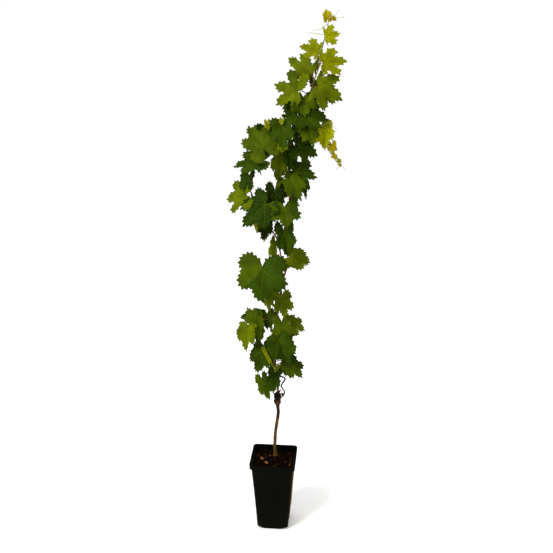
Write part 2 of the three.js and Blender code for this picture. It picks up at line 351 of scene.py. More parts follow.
def centre_line(name):
    """The middle and mean radius of each ring of a limb's solid, in order along it."""
    low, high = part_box(name)
    axis = 2 if high.z - low.z > high.x - low.x else 0
    places = {tuple(round(value, 6) for value in vert.co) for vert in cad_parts[name].data.vertices}
    places = sorted(places, key=lambda place: place[axis])
    rings = [[places[0]]]
    for place in places[1:]:
        if place[axis] - rings[-1][-1][axis] > RING_GAP:
            rings.append([])
        rings[-1].append(place)
    line = []
    for ring in rings:
        if len(ring) < RING_POINTS:
            continue
        middle = sum((Vector(place) for place in ring), Vector()) / len(ring)
        line.append((middle, sum((Vector(place) - middle).length for place in ring) / len(ring)))
    return line


limb_lines = {name: centre_line(name) for name in LIMBS}
limb_curves = {name: curve_points([middle for middle, _ in line], CURVE_STEPS)
               for name, line in limb_lines.items()}


def on_limb(name, share, offset):
    """A place beside a limb: a share of the way along it, and an offset in millimetres."""
    return spread(limb_curves[name], share) + Vector(offset) * MM


trunk_low, trunk_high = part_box("trunk")
TRUNK_HEIGHT = trunk_high.z - trunk_low.z
DARK_LOW = trunk_low.z + 0.6 * TRUNK_HEIGHT         # where the bark turns dark
GRAFT_LOW = trunk_low.z + 0.815 * TRUNK_HEIGHT
HEAD_LOW = trunk_low.z + 0.9 * TRUNK_HEIGHT
GRAFT_BLEND = 10 * MM         # the height over which the bark turns knobby
TRUNK_RINGS = 130
TRUNK_SIDES = 26
TRUNK_SWELL = 0.22            # share added to the trunk's radius by its top
BARK_STRIPS = 26
NODE_SPACING = 62 * MM        # between the swollen joints of a shoot
NODE_SWELL = 0.35
NODE_WIDTH = 0.07             # of a joint, as a share of the spacing
SHOOT_RING_GAP = 4 * MM


def trunk_relief(place):
    """Long fissures, and coarse lumps on the graft and the old head."""
    crack = noise.noise(Vector((place.x * 420, place.y * 420, place.z * 55)))
    flake = noise.noise(Vector((place.x * 900, place.y * 900, place.z * 160)))
    lump = noise.noise(place * 150)
    knobby = max(0.0, min(1.0, (place.z - GRAFT_LOW) / GRAFT_BLEND))
    return 0.13 * crack + 0.06 * flake + (0.08 + 0.34 * knobby) * lump


def shoot_relief(place):
    """Faint ridges along the shoot."""
    return 0.07 * noise.noise(Vector((place.x * 700, place.y * 700, place.z * 40)))


def trunk_zone(place):
    """The slot of pale bark below, dark bark above, the brown graft or the black old head."""
    level = place.z + 0.006 * noise.noise(place * 90)
    if level > HEAD_LOW:
        return 3
    if level > GRAFT_LOW:
        return 2
    if level > DARK_LOW:
        return 1
    return 0


# Stubs of old wood on the head: share of the way up the trunk, heading, length and radius (mm).
STUBS = [
    (0.985, (0.5, -0.4, 0.75), 19, 3.4),
    (0.965, (-0.9, -0.2, 0.35), 12, 3.2),
    (0.95, (0.9, 0.1, 0.2), 11, 3.6),
    (0.93, (-0.5, 0.8, 0.2), 12, 3.0),
    (0.87, (0.8, -0.5, -0.1), 11, 3.0),
    (0.86, (-0.9, -0.3, 0.1), 11, 3.2),
]


def make_trunk():
    stretch = (1, 1, 0.2)
    barks = [
        blotched_material("bark_pale", [(40, 26, 12), (86, 60, 22), (62, 46, 26)], 0.85, 0.1, 60,
                          0.8, 240, 0.0012, stretch),
        blotched_material("bark_dark", [(24, 17, 12), (58, 38, 24)], 0.85, 0.1, 70,
                          0.8, 240, 0.0012, stretch),
        blotched_material("bark_graft", [(38, 25, 13), (76, 54, 30)], 0.9, 0.1, 110, 1, 260, 0.0015),
        blotched_material("bark_head", [(9, 7, 6), (26, 18, 13)], 0.9, 0.1, 120, 1, 260, 0.0015),
    ]
    line = limb_lines["trunk"]
    points = curve_points([middle for middle, _ in line], TRUNK_RINGS)
    widths = [width for _, width in line]
    radii = []
    for number in range(TRUNK_RINGS + 1):
        radii.append(spread(widths, number / TRUNK_RINGS) * (1 + TRUNK_SWELL * number / TRUNK_RINGS))
    trunk = sweep(points, radii, TRUNK_SIDES, trunk_relief, trunk_zone)
    for share, heading, length, radius in STUBS:
        start = spread(points, share)
        heading = Vector(heading).normalized()
        stub = [start + heading * length * MM * step / 6 for step in range(7)]
        absorb(trunk, tapered(stub, radius * MM, 0.75 * radius * MM, 10, trunk_relief, trunk_zone))
    finish_piece(new_object("trunk_bark", trunk, barks), "bark", "trunk")
    make_bark_strips(points, radii, barks[0])


def make_bark_strips(points, radii, bark):
    """Strips of old bark along the trunk, their upper ends lifted off it."""
    dice = random.Random(5)
    strips = bmesh.new()
    for _ in range(BARK_STRIPS):
        share = dice.uniform(0.03, 0.66)
        way = dice.uniform(0, 2 * math.pi)
        out = Vector((math.cos(way), math.sin(way), 0))
        reach = dice.uniform(0.04, 0.12)
        stations = []
        for step in range(5):
            at = min(1, share + reach * step / 4)
            lifted = 0.86 + 0.28 * (step / 4) ** 3 + dice.uniform(0, 0.08)
            stations.append(spread(points, at) + out * spread(radii, at) * lifted)
        absorb(strips, tapered(curve_points(stations, 8), 0.8 * MM, 0.35 * MM, 5))
    finish_piece(new_object("trunk_bark_strips", strips, [bark]), "bark")


def make_shoots():
    """The shoots with their swollen joints: woody bark below, green on the last ones."""
    stretch = (1, 1, 0.15)
    woody = [blotched_material("shoot_bark", [(82, 40, 18), (112, 64, 30), (98, 76, 32)], 0.55, 0.15, 30,
                               0.4, 500, 0.0005, stretch)]
    green = [blotched_material("green_shoot", [(98, 56, 44), (100, 92, 36)], 0.5, 0.15, 26, 0.3, 500,
                               0.0004, stretch)]
    for name in LIMBS[1:]:
        line = limb_lines[name]
        middles = limb_curves[name]
        length = path_length(middles)
        count = max(10, round(length / SHOOT_RING_GAP))
        points = curve_points([middle for middle, _ in line], count)
        radii = []
        for number in range(count + 1):
            phase = length * number / count / NODE_SPACING % 1
            swell = 1 + NODE_SWELL * math.exp(-((phase - 0.5) / NODE_WIDTH) ** 2)
            radii.append(spread([width for _, width in line], number / count) * swell)
        bm = sweep(points, radii, 12, shoot_relief)
        skin = green if name.endswith("_top") or name == "side_shoot" else woody
        finish_piece(new_object(name + "_bark", bm, skin), "shoot_bark", name)


# Tendrils: limb, share along it where it grows, and the offsets it passes through (mm).
TENDRILS = [
    ("right_shoot_top", 0.98, [(8, -3, 1), (15, -4, 0), (28, -6, 0), (38, -8, 2), (41, -8, -1),
                               (37, -8, -2)]),
    ("right_shoot_top", 0.98, [(6, -3, 3), (12, -4, 4), (18, -6, 8), (25, -8, 17), (27, -8, 20)]),
    ("right_shoot_top", 0.93, [(-4, -3, 1), (-14, -7, -7), (-22, -9, -12), (-37, -12, -13),
                               (-40, -12, -11)]),
    ("right_shoot_top", 0.85, [(-9, -3, 3), (-24, -8, 5), (-36, -11, 7), (-43, -12, 7), (-44, -12, 4)]),
    ("side_shoot", 0.3, [(8, -10, 20), (16, -20, 38), (32, -30, 48), (44, -34, 42), (52, -34, 30),
                         (49, -33, 24)]),
    ("side_shoot", 0.99, [(2, -1, -2), (9, -3, -5), (15, -4, -9), (17, -4, -14)]),
    ("side_shoot", 0.99, [(-2, 0, -4), (-8, 0, -8), (-13, 0, -8)]),
    ("right_shoot", 0.52, [(8, -14, 2), (18, -22, 8), (20, -24, 16), (15, -22, 20)]),
]
TENDRIL_RADII = (0.75 * MM, 0.4 * MM)

# The dead twig that hangs beside the head: the offsets it passes through (mm).
DEAD_TWIG = [(4, -3, 4), (16, -9, 2), (25, -12, -4), (14, -16, -24), (24, -20, -44), (13, -18, -62),
             (9, -14, -72)]
TWIG_RADII = (3.0 * MM, 1.7 * MM)


def make_tendrils():
    skin = blotched_material("tendril", [(132, 126, 52), (150, 146, 74)], 0.5, 0.2, 60, 0.1, 400, 0.0002)
    tendrils = bmesh.new()
    for limb, share, offsets in TENDRILS:
        root = on_limb(limb, share, (0, 0, 0))
        stations = [root, *[root + Vector(offset) * MM for offset in offsets]]
        absorb(tendrils, tapered(curve_points(stations, 30), *TENDRIL_RADII, 6))
    finish_piece(new_object("tendrils", tendrils, [skin]), "shoot_bark")
    root = on_limb("shoot_low", 0.27, (0, 0, 0))
    stations = [root, *[root + Vector(offset) * MM for offset in DEAD_TWIG]]
    twig = tapered(curve_points(stations, 44), *TWIG_RADII, 7, shoot_relief)
    dead = blotched_material("dead_twig", [(12, 9, 8), (30, 22, 18)], 0.8, 0.1, 90, 0.6, 400, 0.0006)
    finish_piece(new_object("dead_twig", twig, [dead]), "shoot_bark")


# ---- leaves ---------------------------------------------------------------------------------

# Reach of the leaf's edge from its stalk, as a share of the length, by angle from the tip.
LOBES = [(0, 1.0), (8, 0.93), (16, 0.84), (22, 0.72), (27, 0.59), (32, 0.67), (38, 0.81),
         (45, 0.89), (52, 0.93), (60, 0.89), (68, 0.8), (75, 0.66), (81, 0.54), (87, 0.62),
         (94, 0.71), (103, 0.76), (112, 0.78), (124, 0.72), (138, 0.64), (148, 0.52), (156, 0.36),
         (164, 0.2), (173, 0.1), (180, 0.05)]
LOBE_TIPS = (0, 52, 112, 180)
LOBE_BACK = 0.42              # how far that outline reaches behind the stalk
MAIN_VEINS = [0, 52, -52, 112, -112]
TEETH = (7, 6, 7)             # between one lobe's tip and the next, on each half
SOME_TEETH = (5, 4, 5)
FEW_TEETH = (4, 3, 4)
TOOTH_DEPTH = 0.075
SHORT_LEAF = 66 * MM          # leaves shorter than this have fewer teeth
TOOTH_FORM = (1.0, 0.2, -0.65)
TIP_TOOTH = 1.05              # size of the tooth at a lobe's tip
NECK = 145                    # degrees from the tip, behind which the cut stays as the table has it
VALLEY_RISE = 0.085           # of the blade between its main veins
VALLEY_ANGLE = 26
DIMPLE_RISE = 0.022
DIMPLE_SCALE = 7
SIDE_VEIN_STARTS = (0.14, 0.27, 0.4, 0.53, 0.66, 0.79)      # along their main vein
SIDE_VEIN_SIZE = 0.42
SIDE_VEIN_ANGLE = 48
SIDE_VEIN_STEP = 0.03
SIDE_VEIN_BEND = 1.3
MAIN_DROOP = 0.12             # of the main leaves
VEIN_RADIUS = 0.0095          # as a share of the leaf's length
VEIN_TAPER = 0.25
LEAF_THICKNESS = 0.35 * MM
STALK_RADIUS = 1.1 * MM
RINGS = [0.1, 0.25, 0.42, 0.58, 0.72, 0.84, 0.94, 1.0]
FEW_RINGS = [0.2, 0.5, 0.8, 1.0]


def leaf_grid(teeth, rings):
    """A flat wheel of faces: a fan round the stalk and rings out to the edge."""
    bm = bmesh.new()
    bmesh.ops.create_circle(bm, cap_ends=True, cap_tris=True, segments=6 * sum(teeth), radius=rings[0])
    edges = [edge for edge in bm.edges if edge.is_boundary]
    for inner, outer in zip(rings, rings[1:]):
        ring, edges = extrude_rim(bm, edges)
        bmesh.ops.scale(bm, vec=Vector((outer / inner, outer / inner, 1)), verts=ring)
    bmesh.ops.recalc_face_normals(bm, faces=bm.faces)
    mesh = bpy.data.meshes.new("leaf_grid")
    bm.to_mesh(mesh)
    bm.free()
    return mesh


GRIDS = {TEETH: leaf_grid(TEETH, RINGS), SOME_TEETH: leaf_grid(SOME_TEETH, RINGS),
         FEW_TEETH: leaf_grid(FEW_TEETH, FEW_RINGS)}


def between(table, angle):
    """A smooth curve through a table of (angle, value)."""
    span = 0
    while span < len(table) - 2 and angle > table[span + 1][0]:
        span += 1
    before, low, high, after = (table[max(0, min(len(table) - 1, span + step))]
                                for step in (-1, 0, 1, 2))
    width = high[0] - low[0]
    t = (angle - low[0]) / width
    slope_low = (high[1] - before[1]) / (high[0] - before[0]) * width
    slope_high = (after[1] - low[1]) / (after[0] - low[0]) * width
    rise = high[1] - low[1]
    return (low[1] + t * slope_low + t * t * (3 * rise - 2 * slope_low - slope_high)
            + t ** 3 * (slope_low + slope_high - 2 * rise))


def evenly(points, count):
    """Points spaced evenly along a polyline, both ends among them."""
    lengths = [0.0]
    for first, second in zip(points, points[1:]):
        lengths.append(lengths[-1] + (second - first).length)
    spaced = []
    span = 0
    for number in range(count + 1):
        goal = lengths[-1] * number / count
        while span < len(points) - 2 and lengths[span + 1] < goal:
            span += 1
        t = (goal - lengths[span]) / (lengths[span + 1] - lengths[span])
        spaced.append(points[span].lerp(points[span + 1], t))
    return spaced


def heading(angle):
    """The flat direction at an angle from the tip, in degrees, positive to the right."""
    return Vector((math.sin(math.radians(angle)), math.cos(math.radians(angle))))


def angle_of(place):
    """The angle from the tip of a flat place."""
    return math.degrees(math.atan2(place.x, place.y))


class Leaf:
    """One leaf's own shape, in lengths of itself: x across it and y from its stalk to its tip."""

    def __init__(self, dice, length, width, cut=0.9, fold=0.15, droop=0.2, back=LOBE_BACK, teeth=TEETH):
        self.dice = dice
        self.length = length
        self.fold = fold
        self.droop = droop
        self.back = back / LOBE_BACK
        self.teeth = teeth
        self.half = 3 * sum(teeth)
        self.tables = {1: self.lobes(cut), -1: self.lobes(cut)}
        self.waves = [(dice.choice((3, 4)), dice.uniform(0.02, 0.045), dice.uniform(0, 2 * math.pi)),
                      (dice.choice((6, 7, 8)), dice.uniform(0.012, 0.025), dice.uniform(0, 2 * math.pi))]
        self.bend = dice.uniform(-0.1, 0.1)
        self.spot = Vector((dice.uniform(0, 50), dice.uniform(0, 50), dice.uniform(0, 50)))
        self.edge = {}
        self.cut_edge(1)
        self.cut_edge(-1)
        self.points = {number: self.tooth(number) for number in self.edge}
        sides = [place.x for place in self.edge.values()]
        self.widen = width / (length * (max(sides) - min(sides)))

    def lobes(self, cut):
        """The lobe table with its own notches: cut 0 is nearly round, 1 is deeply lobed."""
        table = []
        for angle, reach in LOBES:
            full = 0.97 - 0.33 * (angle / 150) ** 2 if angle < NECK else reach
            mixed = full + (reach - full) * cut
            if angle not in (0, 180):
                mixed *= self.dice.uniform(0.95, 1.05)
            table.append((angle, mixed))
        return table

    def reach(self, angle):
        """Reach of the smooth edge at an angle in degrees, negative to the left."""
        return between(self.tables[1 if angle >= 0 else -1], abs(angle))

    def cut_edge(self, side):
        """Spaces places along one half of the edge, with every third at the point of a tooth."""
        number = 0
        for low, high, count in zip(LOBE_TIPS, LOBE_TIPS[1:], self.teeth):
            fine = []
            for step in range(41):
                angle = low + (high - low) * step / 40
                fine.append(heading(side * angle) * between(self.tables[side], angle))
            for place in evenly(fine, 3 * count)[:-1]:
                self.edge[side * number] = place
                number += 1
        self.edge[side * number] = fine[-1]

    def tooth(self, number):
        """How far the edge is moved at a place to make its teeth."""
        if abs(number) > self.half - 5:
            return Vector((0, 0))
        along = self.edge[number + 1] - self.edge[number - 1]
        outward = Vector((-along.y, along.x)).normalized()
        form = TOOTH_FORM[abs(number) % 3]
        tips = (0, 3 * self.teeth[0], 3 * (self.teeth[0] + self.teeth[1]))
        if form == 1 and abs(number) in tips:
            size = TIP_TOOTH
        else:
            size = self.dice.uniform(0.75, 1.15) * (1.1, 0.65)[abs(number) // 3 % 2]
        return outward * (TOOTH_DEPTH * size * form * TEETH[0] / (self.teeth[0] + 2))

    def lift(self, place):
        """Gives a flat place its height: the fold, the valleys at the veins, the droop and the waves."""
        distance = place.length
        if distance < 1e-6:
            return Vector((0, 0, 0))
        angle = angle_of(place)
        share = min(1.0, distance / max(0.05, self.reach(angle)))
        nearest = min(abs(angle - vein) for vein in MAIN_VEINS)
        valley = math.sin(min(1.0, nearest / VALLEY_ANGLE) * math.pi / 2)
        height = VALLEY_RISE * valley * distance * (1 - 0.45 * share)
        for count, depth, phase in self.waves:
            height += depth * share ** 2.5 * math.sin(math.radians(angle) * count + phase)
        dimple = Vector((place.x * DIMPLE_SCALE, place.y * DIMPLE_SCALE, 0)) + self.spot
        height += DIMPLE_RISE * noise.noise(dimple)
        height += abs(place.x) * math.sin(self.fold) - self.droop * distance * distance
        across = place.x * math.cos(self.fold) + self.bend * place.y * abs(place.y)
        along = place.y if place.y > 0 else place.y * self.back
        return Vector((across * self.widen, -height, -along)) * self.length

    def blade(self, tint, painted_light_and_shade):
        """A bmesh of the blade. The last argument is (tint, low angle, high angle) for a part of the
        leaf in another green: painted light where that green is lighter, painted shade where it is
        darker.
        """
        bm = bmesh.new()
        bm.from_mesh(GRIDS[self.teeth])
        for face in bm.faces:
            middle = face.calc_center_median()
            apart = painted_light_and_shade and painted_light_and_shade[1] < angle_of(middle) < painted_light_and_shade[2]
            face.material_index = painted_light_and_shade[0] if apart else tint
        for vert in bm.verts:
            share = vert.co.length
            number = round(angle_of(vert.co) / 180 * self.half)
            flat = self.edge[number] * share + self.points[number] * share ** 8
            vert.co = self.lift(flat)
        bm.normal_update()
        if sum(face.normal.y * face.calc_area() for face in bm.faces) > 0:
            bmesh.ops.reverse_faces(bm, faces=bm.faces)
        return bm

    def vein_paths(self):
        """Lists of (flat places, size) for the main veins and their side veins."""
        paths = []
        for vein in MAIN_VEINS:
            reach = self.reach(vein)
            straight = [heading(vein) * reach * step / 6 * 0.97 for step in range(7)]
            paths.append((straight, 1.0 if abs(vein) < 60 else 0.8))
            if self.teeth == FEW_TEETH:
                continue
            for start in SIDE_VEIN_STARTS:
                for way in (-1, 1):
                    side_vein = self.side_vein(vein, heading(vein) * reach * start, way)
                    if len(side_vein) > 3:
                        paths.append((side_vein[::3] + side_vein[-1:], SIDE_VEIN_SIZE))
        return paths

    def side_vein(self, vein, place, way):
        """Places along a side vein, from its main vein to near the edge or half way to the next one."""
        places = [place]
        angle = vein + way * SIDE_VEIN_ANGLE
        for _ in range(24):
            place = place + heading(angle) * SIDE_VEIN_STEP
            angle -= way * SIDE_VEIN_BEND
            at = angle_of(place)
            mine = min(MAIN_VEINS, key=lambda other: abs(other - at)) == vein
            if not mine or abs(at) > 165 or place.length > 0.93 * self.reach(at):
                break
            places.append(place)
        return places


def leaf_turn(hang, nod, turn):
    """Turns a leaf that hangs with its face to -Y: tip in its plane, face up, then face to +X."""
    spin = Matrix.Rotation(math.radians(-hang), 3, "Y")
    tip = Matrix.Rotation(math.radians(-nod), 3, "X")
    return Matrix.Rotation(math.radians(turn), 3, "Z") @ tip @ spin


# The main leaf of each mass, in the order of its solids: hang, nod, turn (degrees), tint, cut and fold;
# the tint is partly painted light and shade (see TINTS). Then, where they differ from
# Foliage.add_main's, how many small leaves grow behind it, how far the mass reaches behind its stalk,
# and a part of the leaf in another green (tint, low angle, high angle). That part is painted light where
# its green is lighter and painted shade where it is darker, for the lit and the shaded sides of the
# leaf's folds.
SPRAYS = {
    "tip_leaves": [
        (188, 10, 10, "young", 0.45, 0.3),
        (99, 15, 25, "bright", 1.25, 0.2, 0, 0.08),
        (-107, 20, -20, "fresh", 1.3, 0.2, 0, 0.12),
        (97, 20, 20, "fresh", 1.3, 0.25, 0, 0.18),
        (-116, 25, -30, "light", 1.35, 0.15, 0, 0.15),
        (63, 25, 15, "light", 1.45, 0.15, 0, 0.3),
        (-102, 20, -25, "light", 1.6, 0.1, 0, 0.28, ("mid", -100, -26)),
    ],
    "bend_leaves": [
        (3, 45, 0, "mid", 0.9, 0.1, 1),
        (81, 35, 20, "dark", 0.9, 0.15, 1),
        (4, 25, 20, "bright", 0.6, 0.25, 0, 0.25),
        (65, 30, 30, "dark", 1.1, 0.15, 1),
        (6, 20, -5, "dark", 0.9, 0.25, 1, 0.32),
    ],
    "right_leaves": [
        (73, 30, 20, "dark", 0.9, 0.15, 1),
        (27, 30, 15, "mid", 0.85, 0.2, 0, 0.15),
        (3, 10, -50, "fresh", 0.4, 0.0),
        (5, 30, 0, "dusk", 0.7, 0.2),
        (3, 30, 5, "mid", 0.7, 0.15, 1, 0.3, ("dark", 52, 180)),
    ],
    "left_leaves": [
        (-144, 30, -10, "mid", 1.0, 0.1, 1),
        (-77, 35, -20, "dark", 1.0, 0.2),
        (5, 25, -30, "deep", 0.8, 0.3),
        (-75, 25, -35, "light", 1.35, 0.1),
        (-41, 25, -10, "deep", 0.9, 0.1, 0, 0.25),
        (-5, 15, -15, "dusk", 0.7, 0.3, 1),
    ],
    "fork_leaves": [
        (9, 15, 15, "dark", 0.7, 0.25, 0, 0.42, ("deep", -180, 0)),
        (1, 15, -40, "light", 0.7, 0.2),
        (74, 30, 20, "light", 0.45, 0.1),
        (0, 25, -8, "dark", 0.7, 0.12, 0, 0.42, ("mid", -180, -52)),
    ],
    "middle_leaves": [
        (5, 20, -10, "light", 0.8, 0.1),
        (7, 30, 10, "light", 0.9, 0.15, 1),
        (13, 35, -10, "dark", 0.7, 0.2),
        (-78, 35, -20, "dark", 0.6, 0.2, 0, 0.42, ("mid", 0, 52)),
        (0, 20, -25, "light", 0.8, 0.1, 1),
        (9, 25, -10, "dark", 0.7, 0.3),
        (8, 30, 0, "mid", 0.8, 0.2),
        (62, 30, 25, "light", 0.9, 0.15),
    ],
    "lower_leaves": [
        (16, 25, 10, "dark", 0.65, 0.15, 1, 0.2, ("deep", -52, 0)),
        (-10, 30, -15, "dark", 0.6, 0.15, 1, 0.2),
        (34, 30, 20, "mid", 0.9, 0.15, 0, 0.42, ("dark", 52, 180)),
        (-1, 20, -10, "deep", 0.7, 0.3, 0, 0.42, ("dark", -180, 0)),
        (28, 25, -15, "mid", 0.65, 0.2, 0, 0.42, ("dark", 0, 180)),
    ],
    "rear_leaves": [
        (10, 30, 160, "light", 0.8, 0.15, 1, 0.42, ("mid", 20, 180)),
        (20, 25, 190, "mid", 0.8, 0.15, 1),
        (-15, 30, 165, "mid", 0.8, 0.15, 1, 0.42, ("dark", 0, 180)),
        (10, 30, 200, "dark", 0.75, 0.15, 1),
        (-10, 30, 170, "mid", 0.7, 0.15, 1, 0.42, ("light", -80, 0)),
        (12, 25, 195, "dark", 0.75, 0.15, 1, 0.42, ("mid", -180, -30)),
        (-8, 30, 185, "mid", 0.7, 0.15, 2),
        (10, 25, 175, "dark", 0.75, 0.15, 2, 0.42, ("mid", 30, 180)),
    ],
}

# Leaves moved from their mass's place (mm), to open gaps between neighbours.
MOVES = {
    "tip_leaves_5": (-16, 0, 5),
    "tip_leaves_6": (3, 0, 0),
    "fork_leaves_4": (-6, 0, 0),
    "rear_leaves_1": (10, 0, -40),
}

# Leaves that reach less far behind their stalks than their mass does.
SHALLOW = {"tip_leaves_6": 0.14, "middle_leaves_5": 0.1}

# Small leaves of their own: limb, share along it, offset of the stalk's end (mm), length and width
# (mm), hang, nod, turn (degrees) and tint.
SMALL_LEAVES = [
    ("right_shoot_top", 0.97, (12, -8, 3), 11, 12, 60, 10, 10, "young"),
    ("side_shoot", 0.56, (13, -6, 8), 25, 27, 5, 15, 10, "young"),
    ("side_shoot", 0.78, (1, -2, 3), 14, 17, 60, 15, 20, "young"),
    ("side_shoot", 0.9, (3, 0, 4), 12, 13, 70, 15, 20, "fresh"),
    ("side_shoot", 0.98, (0, 0, 2), 9, 10, 40, 15, 10, "young"),
    ("left_shoot_top", 1.0, (9, -48, 21), 13, 14, -10, 25, 0, "fresh"),
    ("left_shoot_top", 1.0, (20, -22, 32), 22, 26, 60, 25, 10, "deep"),
    ("right_shoot", 0.98, (-28, -60, 12), 20, 30, 0, 30, 0, "light"),
    ("right_shoot", 0.7, (-29, -13, 1), 14, 12, 0, 20, 0, "light"),
    ("left_shoot_top", 0.94, (-23, -31, 20), 21, 19, 10, 20, 0, "fresh"),
    ("left_shoot_top", 0.89, (-2, -17, 4), 45, 40, 30, 20, 10, "dark"),
    ("left_shoot", 0.65, (-12, -32, 10), 46, 32, 8, 25, -10, "fresh"),
    ("shoot_low", 0.82, (-28, -74, -7), 46, 10, 30, 20, 0, "fresh"),
    ("shoot_middle", 0.34, (-55, -34, -20), 62, 42, 12, 22, -8, "mid"),
    ("shoot_middle", 0.34, (-60, -36, -19), 46, 52, -135, 15, -10, "mid"),
    ("right_shoot_top", 0.14, (16, -45, 0), 46, 52, 20, 30, 10, "mid"),
    ("right_shoot_top", 0.2, (-8, -34, 2), 50, 50, 8, 25, 0, "dark"),
    ("right_shoot", 0.89, (-27, 13, 3), 66, 54, -8, 12, -18, "light"),
    ("right_shoot", 0.96, (-15, -16, 5), 62, 36, 5, 20, 10, "deep"),
    ("shoot_low", 0.84, (-26, -40, 1), 30, 26, 0, 25, 0, "dark"),
    ("shoot_low", 0.47, (8, -25, 1), 17, 21, 20, 25, 0, "fresh"),
    ("shoot_low", 0.5, (30, -27, 0), 32, 24, 5, 25, 0, "mid"),
    ("right_shoot", 0.74, (36, 2, 0), 56, 32, 8, 20, 20, "dark"),
    ("shoot_low", 0.02, (16, -20, 0), 9, 8, 20, 20, 0, "mid"),
]


def measure_mass(node, turn, back):
    """Where a mass starts, its length and its width, from its solid and the way it faces."""
    unturned = turn.transposed()
    places = [unturned @ vert.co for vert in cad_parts[node].data.vertices]
    low = [min(place[axis] for place in places) for axis in range(3)]
    high = [max(place[axis] for place in places) for axis in range(3)]
    length = (high[2] - low[2]) / (1 + back)
    start = Vector(((low[0] + high[0]) / 2, low[1] + 0.25 * (high[1] - low[1]), low[2] + length))
    return turn @ start, length, high[0] - low[0]


limb_places = [place for curve in limb_curves.values() for place in curve]


def any_way(dice):
    """A random vector inside a cube of half side 1."""
    return Vector((dice.uniform(-1, 1), dice.uniform(-1, 1), dice.uniform(-1, 1)))


def stalk(place, turn, length, dice):
    """A leaf stalk from the nearest limb to the leaf, arriving from behind its face."""
    def climb(limb):
        """How far a place on a limb is, counted further where it is higher than the leaf."""
        return (limb - place).length + 0.8 * max(0.0, limb.z - place.z + 12 * MM)

    root = min(limb_places, key=climb)
    across = place - root
    rise = UP * (0.22 * across.length)
    behind = turn @ Vector((0, 1, 0.35)) * min(0.35 * across.length, 0.4 * length)
    wobble = any_way(dice) * 0.04 * across.length
    stations = [root, root + across * 0.35 + rise * 0.7 + wobble,
                place - across * 0.18 + behind * 0.6 + rise * 0.5, place]
    girth = STALK_RADIUS * min(1.0, 0.45 + length / 0.1)
    return tapered(curve_points(stations, 10), 1.3 * girth, 0.75 * girth, 6)


class Foliage:
    """The blades and veins of one tier of leaves, and the stalks of them all."""

    def __init__(self, name, stalks):
        self.name = name
        self.blades = bmesh.new()
        self.veins = bmesh.new()
        self.stalks = stalks
        self.tints = []

    def slot(self, tint):
        """The material slot of a tint's upper skin."""
        if tint not in self.tints:
            self.tints.append(tint)
        return 2 * self.tints.index(tint)

    def add(self, leaf, place, turn, tint, painted_light_and_shade=None):
        """One leaf with its stalk's end at a place: its blade, its veins and its stalk."""
        spot = Matrix.Translation(place) @ turn.to_4x4()
        # A part of the leaf in another green: painted light where it is lighter, painted shade where it
        # is darker.
        painted_light_and_shade = painted_light_and_shade and (self.slot(painted_light_and_shade[0]), *painted_light_and_shade[1:])
        blade = leaf.blade(self.slot(tint), painted_light_and_shade)
        bmesh.ops.transform(blade, matrix=spot, verts=blade.verts)
        absorb(self.blades, blade)
        for flat, size in leaf.vein_paths():
            root = VEIN_RADIUS * leaf.length * size
            points = [spot @ leaf.lift(each) for each in flat]
            absorb(self.veins, tapered(points, root, VEIN_TAPER * root, 4))
        absorb(self.stalks, stalk(place, turn, leaf.length, leaf.dice))

    def add_main(self, node, seed, hang, nod, swing, tint, cut, fold, more=0, back=LOBE_BACK,
                 painted_light_and_shade=None):
        """The main leaf of a mass, and the small leaves behind it."""
        turn = leaf_turn(hang, nod, swing)
        place, length, width = measure_mass(node, turn, back)
        place += Vector(MOVES.get(node, (0, 0, 0))) * MM
        teeth = SOME_TEETH if length < SHORT_LEAF else TEETH
        reach_back = SHALLOW.get(node, back)
        leaf = Leaf(random.Random(seed), length, width, cut, fold, MAIN_DROOP, reach_back, teeth)
        self.add(leaf, place, turn, tint, painted_light_and_shade)
        for _ in range(more):
            self.add_behind(leaf, place, turn, DARKER[tint])

    def add_behind(self, leaf, place, turn, tint):
        """A small leaf behind a big one, inside its outline."""
        dice = leaf.dice
        length = leaf.length * dice.uniform(0.42, 0.58)
        side = dice.choice((-1, 1))
        offset = Vector((side * dice.uniform(0.1, 0.3), 0, -dice.uniform(0.05, 0.35))) * leaf.length
        behind = Vector((0, dice.uniform(9, 17) * MM, 0))
        hang = side * dice.uniform(10, 45)
        nod = dice.uniform(-10, 15)
        own_turn = turn @ leaf_turn(hang, nod, side * dice.uniform(5, 30))
        width = length * dice.uniform(0.9, 1.15)
        small = Leaf(dice, length, width, cut=0.85, fold=0.25, droop=0.25, teeth=FEW_TEETH)
        self.add(small, place + turn @ (offset + behind), own_turn, tint)

    def finish(self, nodes):
        """Makes the pieces of the tier, which stand in for the nodes."""
        smooth(self.blades)
        name = self.name.replace("_leaves", "_leaf_blades")
        blades = new_object(name, self.blades, leaf_skins(self.tints))
        wall = blades.modifiers.new("thickness", "SOLIDIFY")
        wall.thickness = LEAF_THICKNESS
        wall.offset = -1
        wall.material_offset = 1
        wall.material_offset_rim = 0
        finish_piece(blades, "young_leaf" if self.name == "tip_leaves" else "leaf", *nodes)
        veins = new_object(self.name.replace("_leaves", "_leaf_veins"), self.veins, [VEIN_SKIN])
        finish_piece(veins, "leaf")


VEIN_SKIN = blotched_material("leaf_vein", [(68, 82, 6), (84, 96, 12)], 0.55, 0.03, 40,
                              0.1, 300, 0.0003)

# The tint of the small leaves that grow behind a main leaf, in its shade.
DARKER = {"young": "fresh", "bright": "light", "fresh": "light", "light": "mid", "mid": "dark",
          "dark": "deep", "deep": "dusk", "dusk": "dusk"}

BARE_LEVELS = [(0.835, 0.915), (0.69, 0.73)]        # no side leaves here, where the crown is open
BARE_TIP = 1.4                # nor above this
TIP_LEVEL = 1.34              # the leaves above this are smaller and paler


